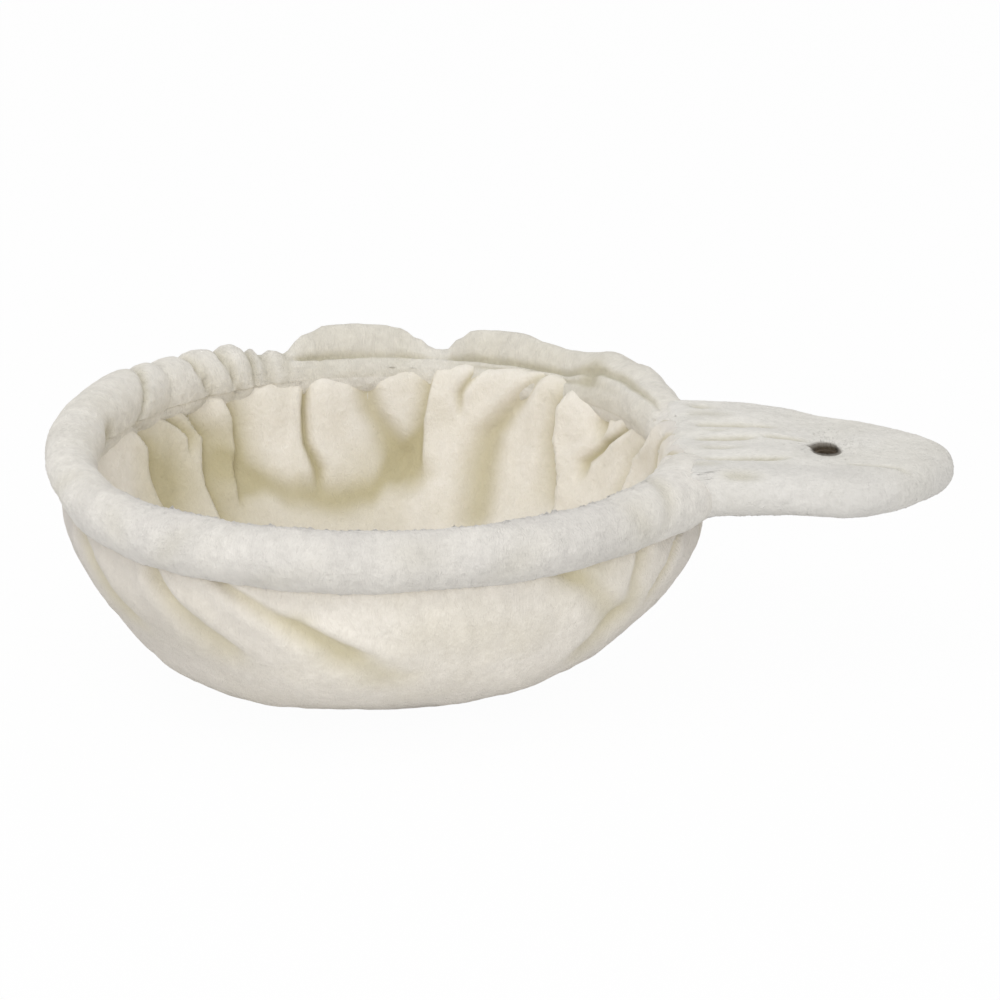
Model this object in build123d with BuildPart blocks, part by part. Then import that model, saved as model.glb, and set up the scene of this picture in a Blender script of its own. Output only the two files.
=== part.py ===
"""Cat tree hammock: a plush bowl hung from a steel ring on a bolted wooden arm.

The origin is the middle of the bolt hole, halfway through the arm's board.
+X runs out along the arm, away from the bowl, and +Z is up. Millimetres.
"""

import os
from math import asin, cos, degrees, hypot, radians, sin, sqrt

from build123d import *

# Steel ring and its two legs under the arm
ring_radius = 188.0
rod_diameter = 6.0
leg_offset = 38.0
leg_bend_radius = 18.0
leg_end_x = -14.0
rod_clearance = 0.2

# Wooden board inside the arm
arm_reach = 83.0
bolt_hole_radius = 5.25
board_thickness = 15.0
board_half_width = 62.0
board_tip_reach = 73.0
board_tip_radius = 30.0
board_taper_start = -20.0
board_root_inset = 10.0

# Straps over the rod's legs, with their screws
strap_thickness = 1.2
strap_length = 30.0
strap_width = 12.0
strap_corner = 2.0
strap_from_ring = 19.0
strap_from_leg_end = 16.0
strap_clearance = 0.1
screw_shank_radius = 1.6
screw_head_radius = 3.2
screw_length = 11.0
screw_spacing = 20.0
screw_clearance = 0.05

# Foam tube and the plush casing round it
foam_radius = 9.5
elastic_width = 5.0
elastic_thickness = 0.7
elastic_start = 117.0
elastic_end = 160.0
casing_clearance = 0.3
casing_front_radius = 17.0
casing_back_radius = 13.6
pucker_depth = 2.2
pucker_count = 7
lobe_height = 15.0
lobe_lean = 5.0

# Cloth bowl: outer cloth, lining and the pad on its floor
bowl_depth = 131.7
bowl_overhang = 5.0
bowl_wall = 9.0
bowl_floor = 6.0
fold_depth = 4.5
fold_sweep = 22.0
lining_wall = 6.0
lining_floor = 6.0
pleat_depth = 7.0
floor_round = 24.0
pad_height = 11.0
cloth_gap = 0.3
bag_seat_depth = 0.6

# Plush and wadding round the board
arm_pad_thickness = 1.5
arm_cover_thickness = 4.0
arm_edge_radius = 9.0
arm_root_wall = 6.0
cover_hole_radius = 8.0
shirr_radius = 3.0
shirr_depth = 1.7
shirr_length = 52.0
shirr_places = (-42.0, -25.0, -8.0, 12.0, 33.0)

# Stitches
thread_radius = 0.45
thread_clearance = 0.05
arm_stitch_length = 5.0
arm_stitch_count = 44
rim_stitch_length = 8.0
rim_stitch_count = 60
overrun = 30.0

bolt_reach = ring_radius + arm_reach
bowl_radius = ring_radius + bowl_overhang
strap_place_x = (strap_from_ring - arm_reach, leg_end_x - strap_from_leg_end)
rod_radius = rod_diameter / 2
half_board = board_thickness / 2
ring_z = -half_board + strap_thickness + rod_radius
ring_centre = (-bolt_reach, 0, ring_z)
bore_radius = foam_radius + elastic_thickness + 2 * casing_clearance

# The arm's half thickness, and how far its plush stands out round the board
cover_reach = cloth_gap + arm_cover_thickness
arm_half = half_board + cloth_gap + arm_pad_thickness + cloth_gap + arm_cover_thickness

# Bowl profile: shares of its depth below the ring, and of its radius
depth_shares = (0.075, 0.22, 0.39, 0.54, 0.69, 0.81, 0.905, 0.97, 1.0)
radius_shares = (0.99, 0.995, 0.964, 0.90, 0.824, 0.741, 0.617, 0.503, 0.435)
fold_shares = (0.25, 0.8, 1.0, 1.0, 0.85, 0.6, 0.3, 0.15, 0.1)
pleat_shares = (0.7, 1.0, 1.0, 0.9, 0.7, 0.5, 0.3, 0.2, 0.1)
floor_round_shares = (0.0, 0.0, 0.0, 0.0, 0.02, 0.08, 0.25, 0.6, 1.0)

# Where the creases lie round the bowl, in degrees from the arm
fold_angles = (-165, -145, -129, -115, -95, -72, -49, -25, -3, 23, 51, 85, 113, 143, 169)
pleat_angles = (
    -173, -153, -132, -110, -87, -65, -43, -23, -4, 15, 31,
    46, 58, 70, 83, 96, 110, 121, 133, 147, 165,
)

# How far each quarter of the casing's outline bulges past its chord
casing_bulge_share = 0.225

# The casing by angle: (degrees from the arm, lobe height share)
lobe_shares = (
    (35, 0.0), (40, 0.28), (47, 0.55), (55, 0.75), (63, 0.92), (71, 1.0), (77, 0.75),
    (82, 0.22), (87, 0.5), (93, 0.92), (100, 1.0), (106, 0.7), (112, 0.15), (117, 0.0),
)


def at_height(z):
    """The level plane at height z whose origin is above the ring's centre."""
    return Plane((-bolt_reach, 0, z))


def across_ring(angle):
    """The upright plane across the ring's rod: local X outwards, local Y up."""
    out = Vector(cos(radians(angle)), sin(radians(angle)), 0)
    return Plane(Vector(*ring_centre) + out * ring_radius, out, out.cross(Vector(0, 0, 1)))


def polar(radius, angle):
    return (radius * cos(radians(angle)), radius * sin(radians(angle)))


def casing_radius(angle):
    """Half the casing's thickness: most at the front, least at the back."""
    middle = (casing_front_radius + casing_back_radius) / 2
    return middle - (casing_front_radius - casing_back_radius) / 2 * sin(radians(angle))


def casing_stations():
    """The casing's stretches, each a list of (angle, radius, lobe height)."""
    pitch = (elastic_end - elastic_start) / (2 * pucker_count)
    puckers = []
    for step in range(2 * pucker_count + 1):
        angle = elastic_start + step * pitch
        swell = pucker_depth if step % 2 else 0
        puckers.append((angle, casing_radius(angle) + swell, 0))
    lobes = [(a, casing_radius(a), share * lobe_height) for a, share in lobe_shares]
    arm_angle = degrees(asin(board_half_width / ring_radius)) / 2
    first = [(a, casing_radius(a), 0) for a in (arm_angle, lobe_shares[0][0])]
    plain = []
    steps = 14
    for step in range(steps + 1):
        angle = elastic_end + (360 - arm_angle - elastic_end) * step / steps
        plain.append((angle, casing_radius(angle), 0))
    return first, lobes, puckers, plain


def casing_outline(radius, rise):
    """Four arcs round the tube, the upper two drawn up into a lobe by rise."""
    lean = lobe_lean * rise / lobe_height
    top = (lean, radius + rise)
    bulge = radius * casing_bulge_share
    ThreePointArc((radius, 0), ((radius + lean) / 2 + bulge, top[1] / 2 + bulge), top)
    ThreePointArc(top, ((lean - radius) / 2 - bulge, top[1] / 2 + bulge), (-radius, 0))
    ThreePointArc((-radius, 0), (-radius / 2 - bulge, -radius / 2 - bulge), (0, -radius))
    ThreePointArc((0, -radius), (radius / 2 + bulge, -radius / 2 - bulge), (radius, 0))


def tongue_outline(extra, root_extra):
    """The arm's plan: straight sides, side arcs tangent to the tip's arc, hollow root."""
    tip_radius = board_tip_radius + extra
    tip_centre = board_tip_reach - board_tip_radius
    half = board_half_width + extra
    run = tip_centre - board_taper_start
    side_radius = (run**2 + half**2 - tip_radius**2) / (2 * (half - tip_radius))
    side_centre = (board_taper_start, half - side_radius)
    lean = degrees(asin(run / (side_radius - tip_radius)))
    touch = (
        side_centre[0] + side_radius * sin(radians(lean)),
        side_centre[1] + side_radius * cos(radians(lean)),
    )
    middle = (
        side_centre[0] + side_radius * sin(radians(lean / 2)),
        side_centre[1] + side_radius * cos(radians(lean / 2)),
    )
    root_radius = ring_radius - board_root_inset - root_extra
    root_x = -bolt_reach + sqrt(root_radius**2 - half**2)
    Line((root_x, half), (board_taper_start, half))
    ThreePointArc((board_taper_start, half), middle, touch)
    ThreePointArc(touch, (tip_centre + tip_radius, 0), (touch[0], -touch[1]))
    ThreePointArc((touch[0], -touch[1]), (middle[0], -middle[1]), (board_taper_start, -half))
    Line((board_taper_start, -half), (root_x, -half))
    ThreePointArc((root_x, -half), (-bolt_reach + root_radius, 0), (root_x, half))


def profile_radius(z):
    """The bowl's outside radius at height z, straight between the profile's points."""
    share = (ring_z - z) / bowl_depth
    for level in range(1, len(depth_shares)):
        if share <= depth_shares[level]:
            break
    upper, lower = depth_shares[level - 1], depth_shares[level]
    along = (share - upper) / (lower - upper)
    step = radius_shares[level] - radius_shares[level - 1]
    return bowl_radius * (radius_shares[level - 1] + along * step)


def scallops(crease, crest, angles, turn):
    """A closed chain of arcs that meet on one radius and bulge to another."""
    for start, end in zip(angles, angles[1:] + (angles[0] + 360,)):
        ThreePointArc(
            polar(crease, start + turn),
            polar(crest, (start + end) / 2 + turn),
            polar(crease, end + turn),
        )


def rod_path():
    """One leg, its bend, the ring in two arcs, and the other bend and leg."""
    reach = ring_radius + leg_bend_radius
    rise = leg_offset + leg_bend_radius
    join = degrees(asin(rise / reach))
    bend_x = -bolt_reach + sqrt(reach**2 - rise**2)
    ring_x = -bolt_reach + ring_radius * cos(radians(join))
    ring_y = ring_radius * sin(radians(join))
    half_way = radians((270 + join) / 2)
    mid_x = bend_x - leg_bend_radius * cos(half_way - radians(90))
    mid_y = rise - leg_bend_radius * sin(half_way - radians(90))
    Line((leg_end_x, leg_offset), (bend_x, leg_offset))
    ThreePointArc((bend_x, leg_offset), (mid_x, mid_y), (ring_x, ring_y))
    ThreePointArc((ring_x, ring_y), (-bolt_reach, ring_radius), (-bolt_reach - ring_radius, 0))
    ThreePointArc((-bolt_reach - ring_radius, 0), (-bolt_reach, -ring_radius), (ring_x, -ring_y))
    ThreePointArc((ring_x, -ring_y), (mid_x, -mid_y), (bend_x, -leg_offset))
    Line((bend_x, -leg_offset), (leg_end_x, -leg_offset))


os.makedirs("parts", exist_ok=True)

# Ring rod
with BuildPart() as ring_rod:
    with BuildLine(Plane.XY.offset(ring_z)) as ring_path:
        rod_path()
    with BuildSketch(Plane((leg_end_x, leg_offset, ring_z), z_dir=(-1, 0, 0))):
        Circle(rod_radius)
    sweep(path=ring_path.wire())

ring_rod.part.label = "ring_rod"
export_step(ring_rod.part, "parts/ring_rod.step")

# The room that the rod needs: its own width with clearance
with BuildPart() as rod_room:
    with BuildSketch(Plane((leg_end_x, leg_offset, ring_z), z_dir=(-1, 0, 0))):
        Circle(rod_radius + rod_clearance)
    sweep(path=ring_path.wire())

# The channel under the board, open below
with BuildPart() as rod_channel:
    add(rod_room.part)
    with BuildSketch(Plane.XY.offset(-half_board - overrun)):
        with BuildLine():
            rod_path()
        trace(line_width=2 * (rod_radius + rod_clearance))
    extrude(amount=ring_z + half_board + overrun)

# Arm board: the tongue, grooved below for the rod and recessed for its straps
strap_places = [(x, y) for x in strap_place_x for y in (leg_offset, -leg_offset)]
screw_places = [
    (x, y + side * screw_spacing / 2) for x, y in strap_places for side in (1, -1)
]
strap_top = -half_board + strap_thickness
with BuildPart() as arm_board:
    with BuildSketch(Plane.XY.offset(-half_board)):
        with BuildLine():
            tongue_outline(0, 0)
        make_face()
        Circle(bolt_hole_radius, mode=Mode.SUBTRACT)
    extrude(amount=board_thickness)
    add(rod_channel.part, mode=Mode.SUBTRACT)
    with BuildSketch(Plane.XY.offset(-half_board)):
        with Locations(*strap_places):
            Rectangle(strap_width + 2 * strap_clearance, strap_length + 2 * strap_clearance)
    extrude(amount=strap_thickness + strap_clearance, mode=Mode.SUBTRACT)
    with BuildSketch(Plane.XY.offset(strap_top)):
        with Locations(*screw_places):
            Circle(screw_shank_radius + screw_clearance)
    extrude(amount=screw_length - strap_thickness + screw_clearance, mode=Mode.SUBTRACT)

arm_board.part.label = "arm_board"
export_step(arm_board.part, "parts/arm_board.step")

# Rod straps: flat plates with countersunk holes
with BuildPart() as rod_straps:
    with BuildSketch(Plane.XY.offset(-half_board)):
        with Locations(*strap_places):
            RectangleRounded(strap_width, strap_length, strap_corner)
    extrude(amount=strap_thickness)
    with Locations(*[(x, y, -half_board + strap_thickness / 2) for x, y in screw_places]):
        Cone(
            screw_head_radius + screw_clearance,
            screw_shank_radius + screw_clearance,
            strap_thickness,
            mode=Mode.SUBTRACT,
        )

rod_straps.part.label = "rod_straps"
export_step(rod_straps.part, "parts/rod_straps.step")

# Strap screws: a countersunk head flush with the strap, and a pointed shank
with BuildPart() as strap_screws:
    for place in screw_places:
        with BuildSketch(Plane((place[0], place[1], 0), (1, 0, 0), (0, -1, 0))):
            with BuildLine():
                Polyline(
                    (0, -half_board),
                    (screw_head_radius, -half_board),
                    (screw_shank_radius, strap_top),
                    (screw_shank_radius, -half_board + screw_length - screw_head_radius),
                    (0, -half_board + screw_length),
                    close=True,
                )
            make_face()
        revolve(axis=Axis((place[0], place[1], 0), (0, 0, 1)))

strap_screws.part.label = "strap_screws"
export_step(strap_screws.part, "parts/strap_screws.step")

# The room that the whole arm takes up, for cutting what ends against its sides
with BuildPart() as arm_room:
    with BuildSketch(Plane.XY.offset(-overrun)):
        with BuildLine():
            tongue_outline(cover_reach + cloth_gap, overrun)
        make_face()
    extrude(amount=2 * overrun)

# Ring foam: a tube round the rod, ending at the arm's sides
with BuildPart() as ring_foam:
    with BuildSketch(across_ring(0)):
        Circle(foam_radius)
        Circle(rod_radius + rod_clearance, mode=Mode.SUBTRACT)
    revolve(axis=Axis(ring_centre, (0, 0, 1)))
    add(arm_room.part, mode=Mode.SUBTRACT)

ring_foam.part.label = "ring_foam"
export_step(ring_foam.part, "parts/ring_foam.step")

# Gather elastic: a flat band lying on the foam under the puckers
with BuildPart() as gather_elastic:
    with BuildSketch(across_ring(elastic_start)):
        with Locations((0, foam_radius + casing_clearance + elastic_thickness / 2)):
            Rectangle(elastic_width, elastic_thickness)
    revolve(axis=Axis(ring_centre, (0, 0, 1)), revolution_arc=elastic_end - elastic_start)

gather_elastic.part.label = "gather_elastic"
export_step(gather_elastic.part, "parts/gather_elastic.step")

# The casing's outer shape, grown by the cloth gap, is what the bowl's top edge meets
with BuildPart() as casing_room:
    for stretch in casing_stations():
        for angle, radius, rise in stretch:
            with BuildSketch(across_ring(angle)):
                with BuildLine():
                    casing_outline(radius + cloth_gap, rise)
                make_face()
        loft(ruled=len(stretch) == 2 * pucker_count + 1)

# The stitches that hold the casing to the outer cloth and to the lining
rim_top_z = ring_z - bowl_depth * depth_shares[0]
seam_radius = profile_radius(rim_top_z) - bowl_wall / 2
lining_seam_radius = profile_radius(rim_top_z) - bowl_wall - cloth_gap - lining_wall / 2
seam_top = ring_z - bore_radius - 2 * thread_radius
arm_spread = degrees(asin((board_half_width + cover_reach + cloth_gap) / lining_seam_radius))
stitch_angles = [
    arm_spread + (step + 1) * (360 - 2 * arm_spread) / (rim_stitch_count + 1)
    for step in range(rim_stitch_count)
]

with BuildPart() as rim_seam_thread:
    with BuildSketch(at_height(seam_top)):
        with Locations(*[polar(seam_radius, angle) for angle in stitch_angles]):
            Circle(thread_radius)
    extrude(amount=-rim_stitch_length)

rim_seam_thread.part.label = "rim_seam_thread"
export_step(rim_seam_thread.part, "parts/rim_seam_thread.step")

with BuildPart() as lining_seam_thread:
    with BuildSketch(at_height(seam_top)):
        with Locations(*[polar(lining_seam_radius, angle) for angle in stitch_angles]):
            Circle(thread_radius)
    extrude(amount=-rim_stitch_length)

lining_seam_thread.part.label = "lining_seam_thread"
export_step(lining_seam_thread.part, "parts/lining_seam_thread.step")

with BuildPart() as rim_stitch_holes:
    with BuildSketch(at_height(seam_top + thread_clearance)):
        for radius in (seam_radius, lining_seam_radius):
            with Locations(*[polar(radius, angle) for angle in stitch_angles]):
                Circle(thread_radius + thread_clearance)
    extrude(amount=-rim_stitch_length - 2 * thread_clearance)

# Rim casing: the plush tube, with its puckers and lobes, round the foam
with BuildPart() as rim_casing:
    for stretch in casing_stations():
        for angle, radius, rise in stretch:
            with BuildSketch(across_ring(angle)):
                with BuildLine():
                    casing_outline(radius, rise)
                make_face()
        loft(ruled=len(stretch) == 2 * pucker_count + 1)
    with BuildSketch(across_ring(0)):
        Circle(bore_radius)
    revolve(axis=Axis(ring_centre, (0, 0, 1)), mode=Mode.SUBTRACT)
    add(arm_room.part, mode=Mode.SUBTRACT)
    add(rim_stitch_holes.part, mode=Mode.SUBTRACT)

rim_casing.part.label = "rim_casing"
export_step(rim_casing.part, "parts/rim_casing.step")

# The surface between outer cloth and lining, plain all round
floor_z = ring_z - bowl_depth
outer_floor_z = floor_z + bowl_floor
lining_base_z = outer_floor_z + 2 * cloth_gap + pad_height
with BuildPart() as bowl_core:
    with BuildSketch(Plane(ring_centre, (1, 0, 0), (0, -1, 0))):
        with BuildLine():
            Polyline(
                (0, 0),
                *[
                    (
                        bowl_radius * radius_share - bowl_wall,
                        -bowl_depth * depth_share + bowl_floor * depth_share,
                    )
                    for depth_share, radius_share in
                    ((0, radius_shares[0]), *zip(depth_shares, radius_shares))
                ],
                (0, outer_floor_z - ring_z),
                close=True,
            )
        make_face()
    revolve(axis=Axis(ring_centre, (0, 0, 1)))

with BuildPart() as lining_core:
    add(bowl_core.part)
    offset(amount=-cloth_gap, kind=Kind.INTERSECTION)

# Bowl, outer cloth: soft folds that slant as they run down, and a flat bottom
top_z = -arm_half + bag_seat_depth - cloth_gap
with BuildPart() as bowl_outer:
    for depth_share, radius_share, fold_share in zip(depth_shares, radius_shares, fold_shares):
        crest = bowl_radius * radius_share
        with BuildSketch(at_height(ring_z - bowl_depth * depth_share)):
            with BuildLine():
                crease = crest - fold_depth * fold_share
                scallops(crease, crest, fold_angles, fold_sweep * depth_share)
            make_face()
    loft()
    add(bowl_core.part, mode=Mode.SUBTRACT)
    add(casing_room.part, mode=Mode.SUBTRACT)
    add(rim_stitch_holes.part, mode=Mode.SUBTRACT)
    split(bisect_by=Plane.XY.offset(top_z), keep=Keep.BOTTOM)

bowl_outer.part.label = "bowl_outer"
export_step(bowl_outer.part, "parts/bowl_outer.step")

# Base pad: the wadding that fills the core's lowest part
with BuildPart() as base_pad:
    add(lining_core.part)
    split(bisect_by=Plane.XY.offset(lining_base_z - cloth_gap), keep=Keep.BOTTOM)

base_pad.part.label = "base_pad"
export_step(base_pad.part, "parts/base_pad.step")

# The bowl's inside: pleats that run down from the rim to a floor with a round corner
lining_floor_z = lining_base_z + lining_floor
with BuildPart() as bowl_inside:
    for depth_share, pleat_share, round_share in zip(
        (0, *depth_shares), (pleat_shares[0], *pleat_shares), (0, *floor_round_shares)
    ):
        z = ring_z - (ring_z - lining_floor_z) * depth_share
        crease = profile_radius(z) - bowl_wall - lining_wall - floor_round * round_share
        with BuildSketch(at_height(z)):
            with BuildLine():
                scallops(crease, crease - pleat_depth * pleat_share, pleat_angles, 0)
            make_face()
    loft()

# Bowl lining
with BuildPart() as bowl_lining:
    add(lining_core.part)
    split(bisect_by=Plane.XY.offset(lining_base_z), keep=Keep.TOP)
    add(bowl_inside.part, mode=Mode.SUBTRACT)
    add(casing_room.part, mode=Mode.SUBTRACT)
    add(rim_stitch_holes.part, mode=Mode.SUBTRACT)
    split(bisect_by=Plane.XY.offset(top_z), keep=Keep.BOTTOM)

bowl_lining.part.label = "bowl_lining"
export_step(bowl_lining.part, "parts/bowl_lining.step")

# Arm pads: thin wadding above and below the board
pad_start = half_board + cloth_gap
with BuildPart() as arm_pad_top:
    with BuildSketch(Plane.XY.offset(pad_start)):
        with BuildLine():
            tongue_outline(0, 0)
        make_face()
        Circle(cover_hole_radius, mode=Mode.SUBTRACT)
    extrude(amount=arm_pad_thickness)

arm_pad_top.part.label = "arm_pad_top"
export_step(arm_pad_top.part, "parts/arm_pad_top.step")

with BuildPart() as arm_pad_base:
    add(arm_pad_top.part)
    mirror(about=Plane.XY, mode=Mode.REPLACE)

arm_pad_base.part.label = "arm_pad_base"
export_step(arm_pad_base.part, "parts/arm_pad_base.step")

# Arm seam thread: upright stitches through the middle of the plush, all round
with BuildLine() as arm_seam:
    tongue_outline(cloth_gap + arm_cover_thickness / 2, arm_root_wall / 2)
arm_stitch_places = []
for step in range(arm_stitch_count):
    place = arm_seam.wire() @ ((step + 0.5) / arm_stitch_count)
    if abs(hypot(place.X + bolt_reach, place.Y) - ring_radius) > rod_diameter:
        arm_stitch_places.append((place.X, place.Y))

with BuildPart() as arm_seam_thread:
    with BuildSketch(Plane.XY.offset(-arm_stitch_length / 2)):
        with Locations(*arm_stitch_places):
            Circle(thread_radius)
    extrude(amount=arm_stitch_length)

arm_seam_thread.part.label = "arm_seam_thread"
export_step(arm_seam_thread.part, "parts/arm_seam_thread.step")

with BuildPart() as arm_stitch_holes:
    with BuildSketch(Plane.XY.offset(-arm_stitch_length / 2 - thread_clearance)):
        with Locations(*arm_stitch_places):
            Circle(thread_radius + thread_clearance)
    extrude(amount=arm_stitch_length + 2 * thread_clearance)

# Arm cover, top: crowned edges, the bolt hole and the shirring at the root
pocket_height = pad_start + arm_pad_thickness + cloth_gap
shirr_start = -bolt_reach + ring_radius - board_root_inset - arm_root_wall
with BuildPart() as arm_cover_top:
    with BuildSketch():
        with BuildLine():
            tongue_outline(cover_reach, arm_root_wall)
        make_face()
    extrude(amount=arm_half)
    fillet(arm_cover_top.faces().sort_by(Axis.Z)[-1].edges(), radius=arm_edge_radius)
    with BuildSketch():
        with BuildLine():
            tongue_outline(cloth_gap, cloth_gap)
        make_face()
    extrude(amount=pocket_height, mode=Mode.SUBTRACT)
    with BuildSketch():
        Circle(cover_hole_radius)
    extrude(amount=arm_half, mode=Mode.SUBTRACT)
    for y in shirr_places:
        groove_start = (shirr_start, y, arm_half + shirr_radius - shirr_depth)
        with BuildSketch(Plane(groove_start, (1, 0, 0), (0, -1, 0))):
            with BuildLine():
                ThreePointArc(
                    (0, 0), (shirr_length / 2, shirr_radius), (shirr_length, 0)
                )
                Line((shirr_length, 0), (0, 0))
            make_face()
        revolve(axis=Axis(groove_start, (1, 0, 0)), mode=Mode.SUBTRACT)
    add(arm_stitch_holes.part, mode=Mode.SUBTRACT)

arm_cover_top.part.label = "arm_cover_top"
export_step(arm_cover_top.part, "parts/arm_cover_top.step")

# Arm cover, base: the underside, pressed in where the bag's top edge lies on it,
# with the ring's rod going in at both sides
with BuildPart() as arm_cover_base:
    with BuildSketch():
        with BuildLine():
            tongue_outline(cover_reach, arm_root_wall)
        make_face()
    extrude(amount=-arm_half)
    fillet(arm_cover_base.faces().sort_by(Axis.Z)[0].edges(), radius=arm_edge_radius)
    with BuildSketch():
        with BuildLine():
            tongue_outline(cloth_gap, cloth_gap)
        make_face()
    extrude(amount=-pocket_height, mode=Mode.SUBTRACT)
    with BuildSketch():
        Circle(cover_hole_radius)
    extrude(amount=-arm_half, mode=Mode.SUBTRACT)
    add(rod_room.part, mode=Mode.SUBTRACT)
    with BuildSketch(at_height(-arm_half)):
        Circle(bowl_radius + cloth_gap)
    extrude(amount=bag_seat_depth, mode=Mode.SUBTRACT)
    add(arm_stitch_holes.part, mode=Mode.SUBTRACT)

arm_cover_base.part.label = "arm_cover_base"
export_step(arm_cover_base.part, "parts/arm_cover_base.step")
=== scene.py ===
"""Cat tree hammock: the plush, its folds and its finishes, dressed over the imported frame."""

import math

import bpy
import numpy as np
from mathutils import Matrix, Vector, noise


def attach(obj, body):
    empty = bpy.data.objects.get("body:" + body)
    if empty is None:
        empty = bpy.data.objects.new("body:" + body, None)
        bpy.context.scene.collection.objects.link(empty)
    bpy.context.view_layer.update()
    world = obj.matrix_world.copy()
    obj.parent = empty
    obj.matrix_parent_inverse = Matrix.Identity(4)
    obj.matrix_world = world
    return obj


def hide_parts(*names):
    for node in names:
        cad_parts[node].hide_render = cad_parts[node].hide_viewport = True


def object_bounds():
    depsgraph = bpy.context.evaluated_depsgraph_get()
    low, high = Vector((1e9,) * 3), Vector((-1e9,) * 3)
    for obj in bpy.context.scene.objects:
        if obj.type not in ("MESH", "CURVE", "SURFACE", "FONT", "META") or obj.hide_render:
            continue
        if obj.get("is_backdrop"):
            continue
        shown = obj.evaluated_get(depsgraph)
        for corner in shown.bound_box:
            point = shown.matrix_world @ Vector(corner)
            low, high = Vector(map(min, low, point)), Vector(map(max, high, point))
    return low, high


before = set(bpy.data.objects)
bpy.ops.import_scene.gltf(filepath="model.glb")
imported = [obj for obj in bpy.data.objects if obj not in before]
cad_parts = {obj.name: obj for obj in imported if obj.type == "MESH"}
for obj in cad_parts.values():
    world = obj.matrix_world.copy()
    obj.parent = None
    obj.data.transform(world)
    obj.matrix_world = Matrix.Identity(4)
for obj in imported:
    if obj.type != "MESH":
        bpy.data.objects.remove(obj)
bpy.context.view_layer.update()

RING = Vector((-0.271, 0.0, -0.0033))
RING_RADIUS = 0.188
FLOOR = -0.135
MM = 0.001
MM_PER_METRE = 1000
MM_PER_DEGREE = 3.28  # along the ring's rod
HOLE_TO_RING = 271
ARM_HALF_THICKNESS = 13.6
POST_BORE_RADIUS = 7.3


# ---------------------------------------------------------------- small tools

def clear_selection():
    bpy.ops.object.select_all(action="DESELECT")


def use_modifier(piece, kind, **settings):
    modifier = piece.modifiers.new(kind.lower(), kind)
    for key, value in settings.items():
        setattr(modifier, key, value)
    bpy.context.view_layer.objects.active = piece
    bpy.ops.object.modifier_apply(modifier=modifier.name)


def keep_place_in_mesh(piece):
    clear_selection()
    piece.select_set(True)
    bpy.context.view_layer.objects.active = piece
    bpy.ops.object.transform_apply(location=True, rotation=True, scale=True)


def points_of(piece):
    flat = np.empty(len(piece.data.vertices) * 3)
    piece.data.vertices.foreach_get("co", flat)
    return flat.reshape(-1, 3)


def set_points(piece, points):
    piece.data.vertices.foreach_set("co", np.ascontiguousarray(points, dtype=float).ravel())
    piece.data.update()


def normals_of(piece):
    flat = np.empty(len(piece.data.vertices) * 3)
    piece.data.vertex_normals.foreach_get("vector", flat)
    return flat.reshape(-1, 3)


def ease(x, start, end):
    share = np.clip((np.asarray(x, dtype=float) - start) / (end - start), 0, 1)
    return share * share * (3 - 2 * share)


def hump(x, middle, width):
    return np.exp(-(((x - middle) / width) ** 2))


def turn_between(a, b):
    """The signed angle from b to a, in degrees, the short way round."""
    return (a - b + 180) % 360 - 180


def turn_hump(angle, middle, width):
    """A hump over an angle that runs round and round."""
    return hump(turn_between(angle, middle), 0, width)


def soft_noise(points, scale, seed):
    """Smooth noise at each point, about -1 to 1."""
    shift = Vector((seed * 7.31, seed * 3.17, seed * 5.71))
    return np.array([noise.noise(Vector(p) * scale + shift) for p in points])


def rounded(places, values, at):
    """Values between the given places, with a smooth slope at each."""
    at = np.asarray(at, dtype=float)
    index = np.clip(np.searchsorted(places, at) - 1, 0, len(places) - 2)
    places, values = np.asarray(places, dtype=float), np.asarray(values, dtype=float)
    share = np.clip((at - places[index]) / (places[index + 1] - places[index]), 0, 1)
    share = share * share * (3 - 2 * share)
    return values[index] * (1 - share) + values[index + 1] * share


def store(piece, name, values):
    """Keeps one number per vertex on the mesh, for its material."""
    data = piece.data.attributes.new(name, "FLOAT", "POINT")
    data.data.foreach_set("value", np.ascontiguousarray(values, dtype=np.float32))


def store_lay(piece, along, across):
    """Keeps each vertex's place on the cloth in metres, which the pile follows."""
    lay = np.zeros((len(along), 3), dtype=np.float32)
    lay[:, 0], lay[:, 1] = along, across
    data = piece.data.attributes.new("lay", "FLOAT_VECTOR", "POINT")
    data.data.foreach_set("vector", lay.ravel())


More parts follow.
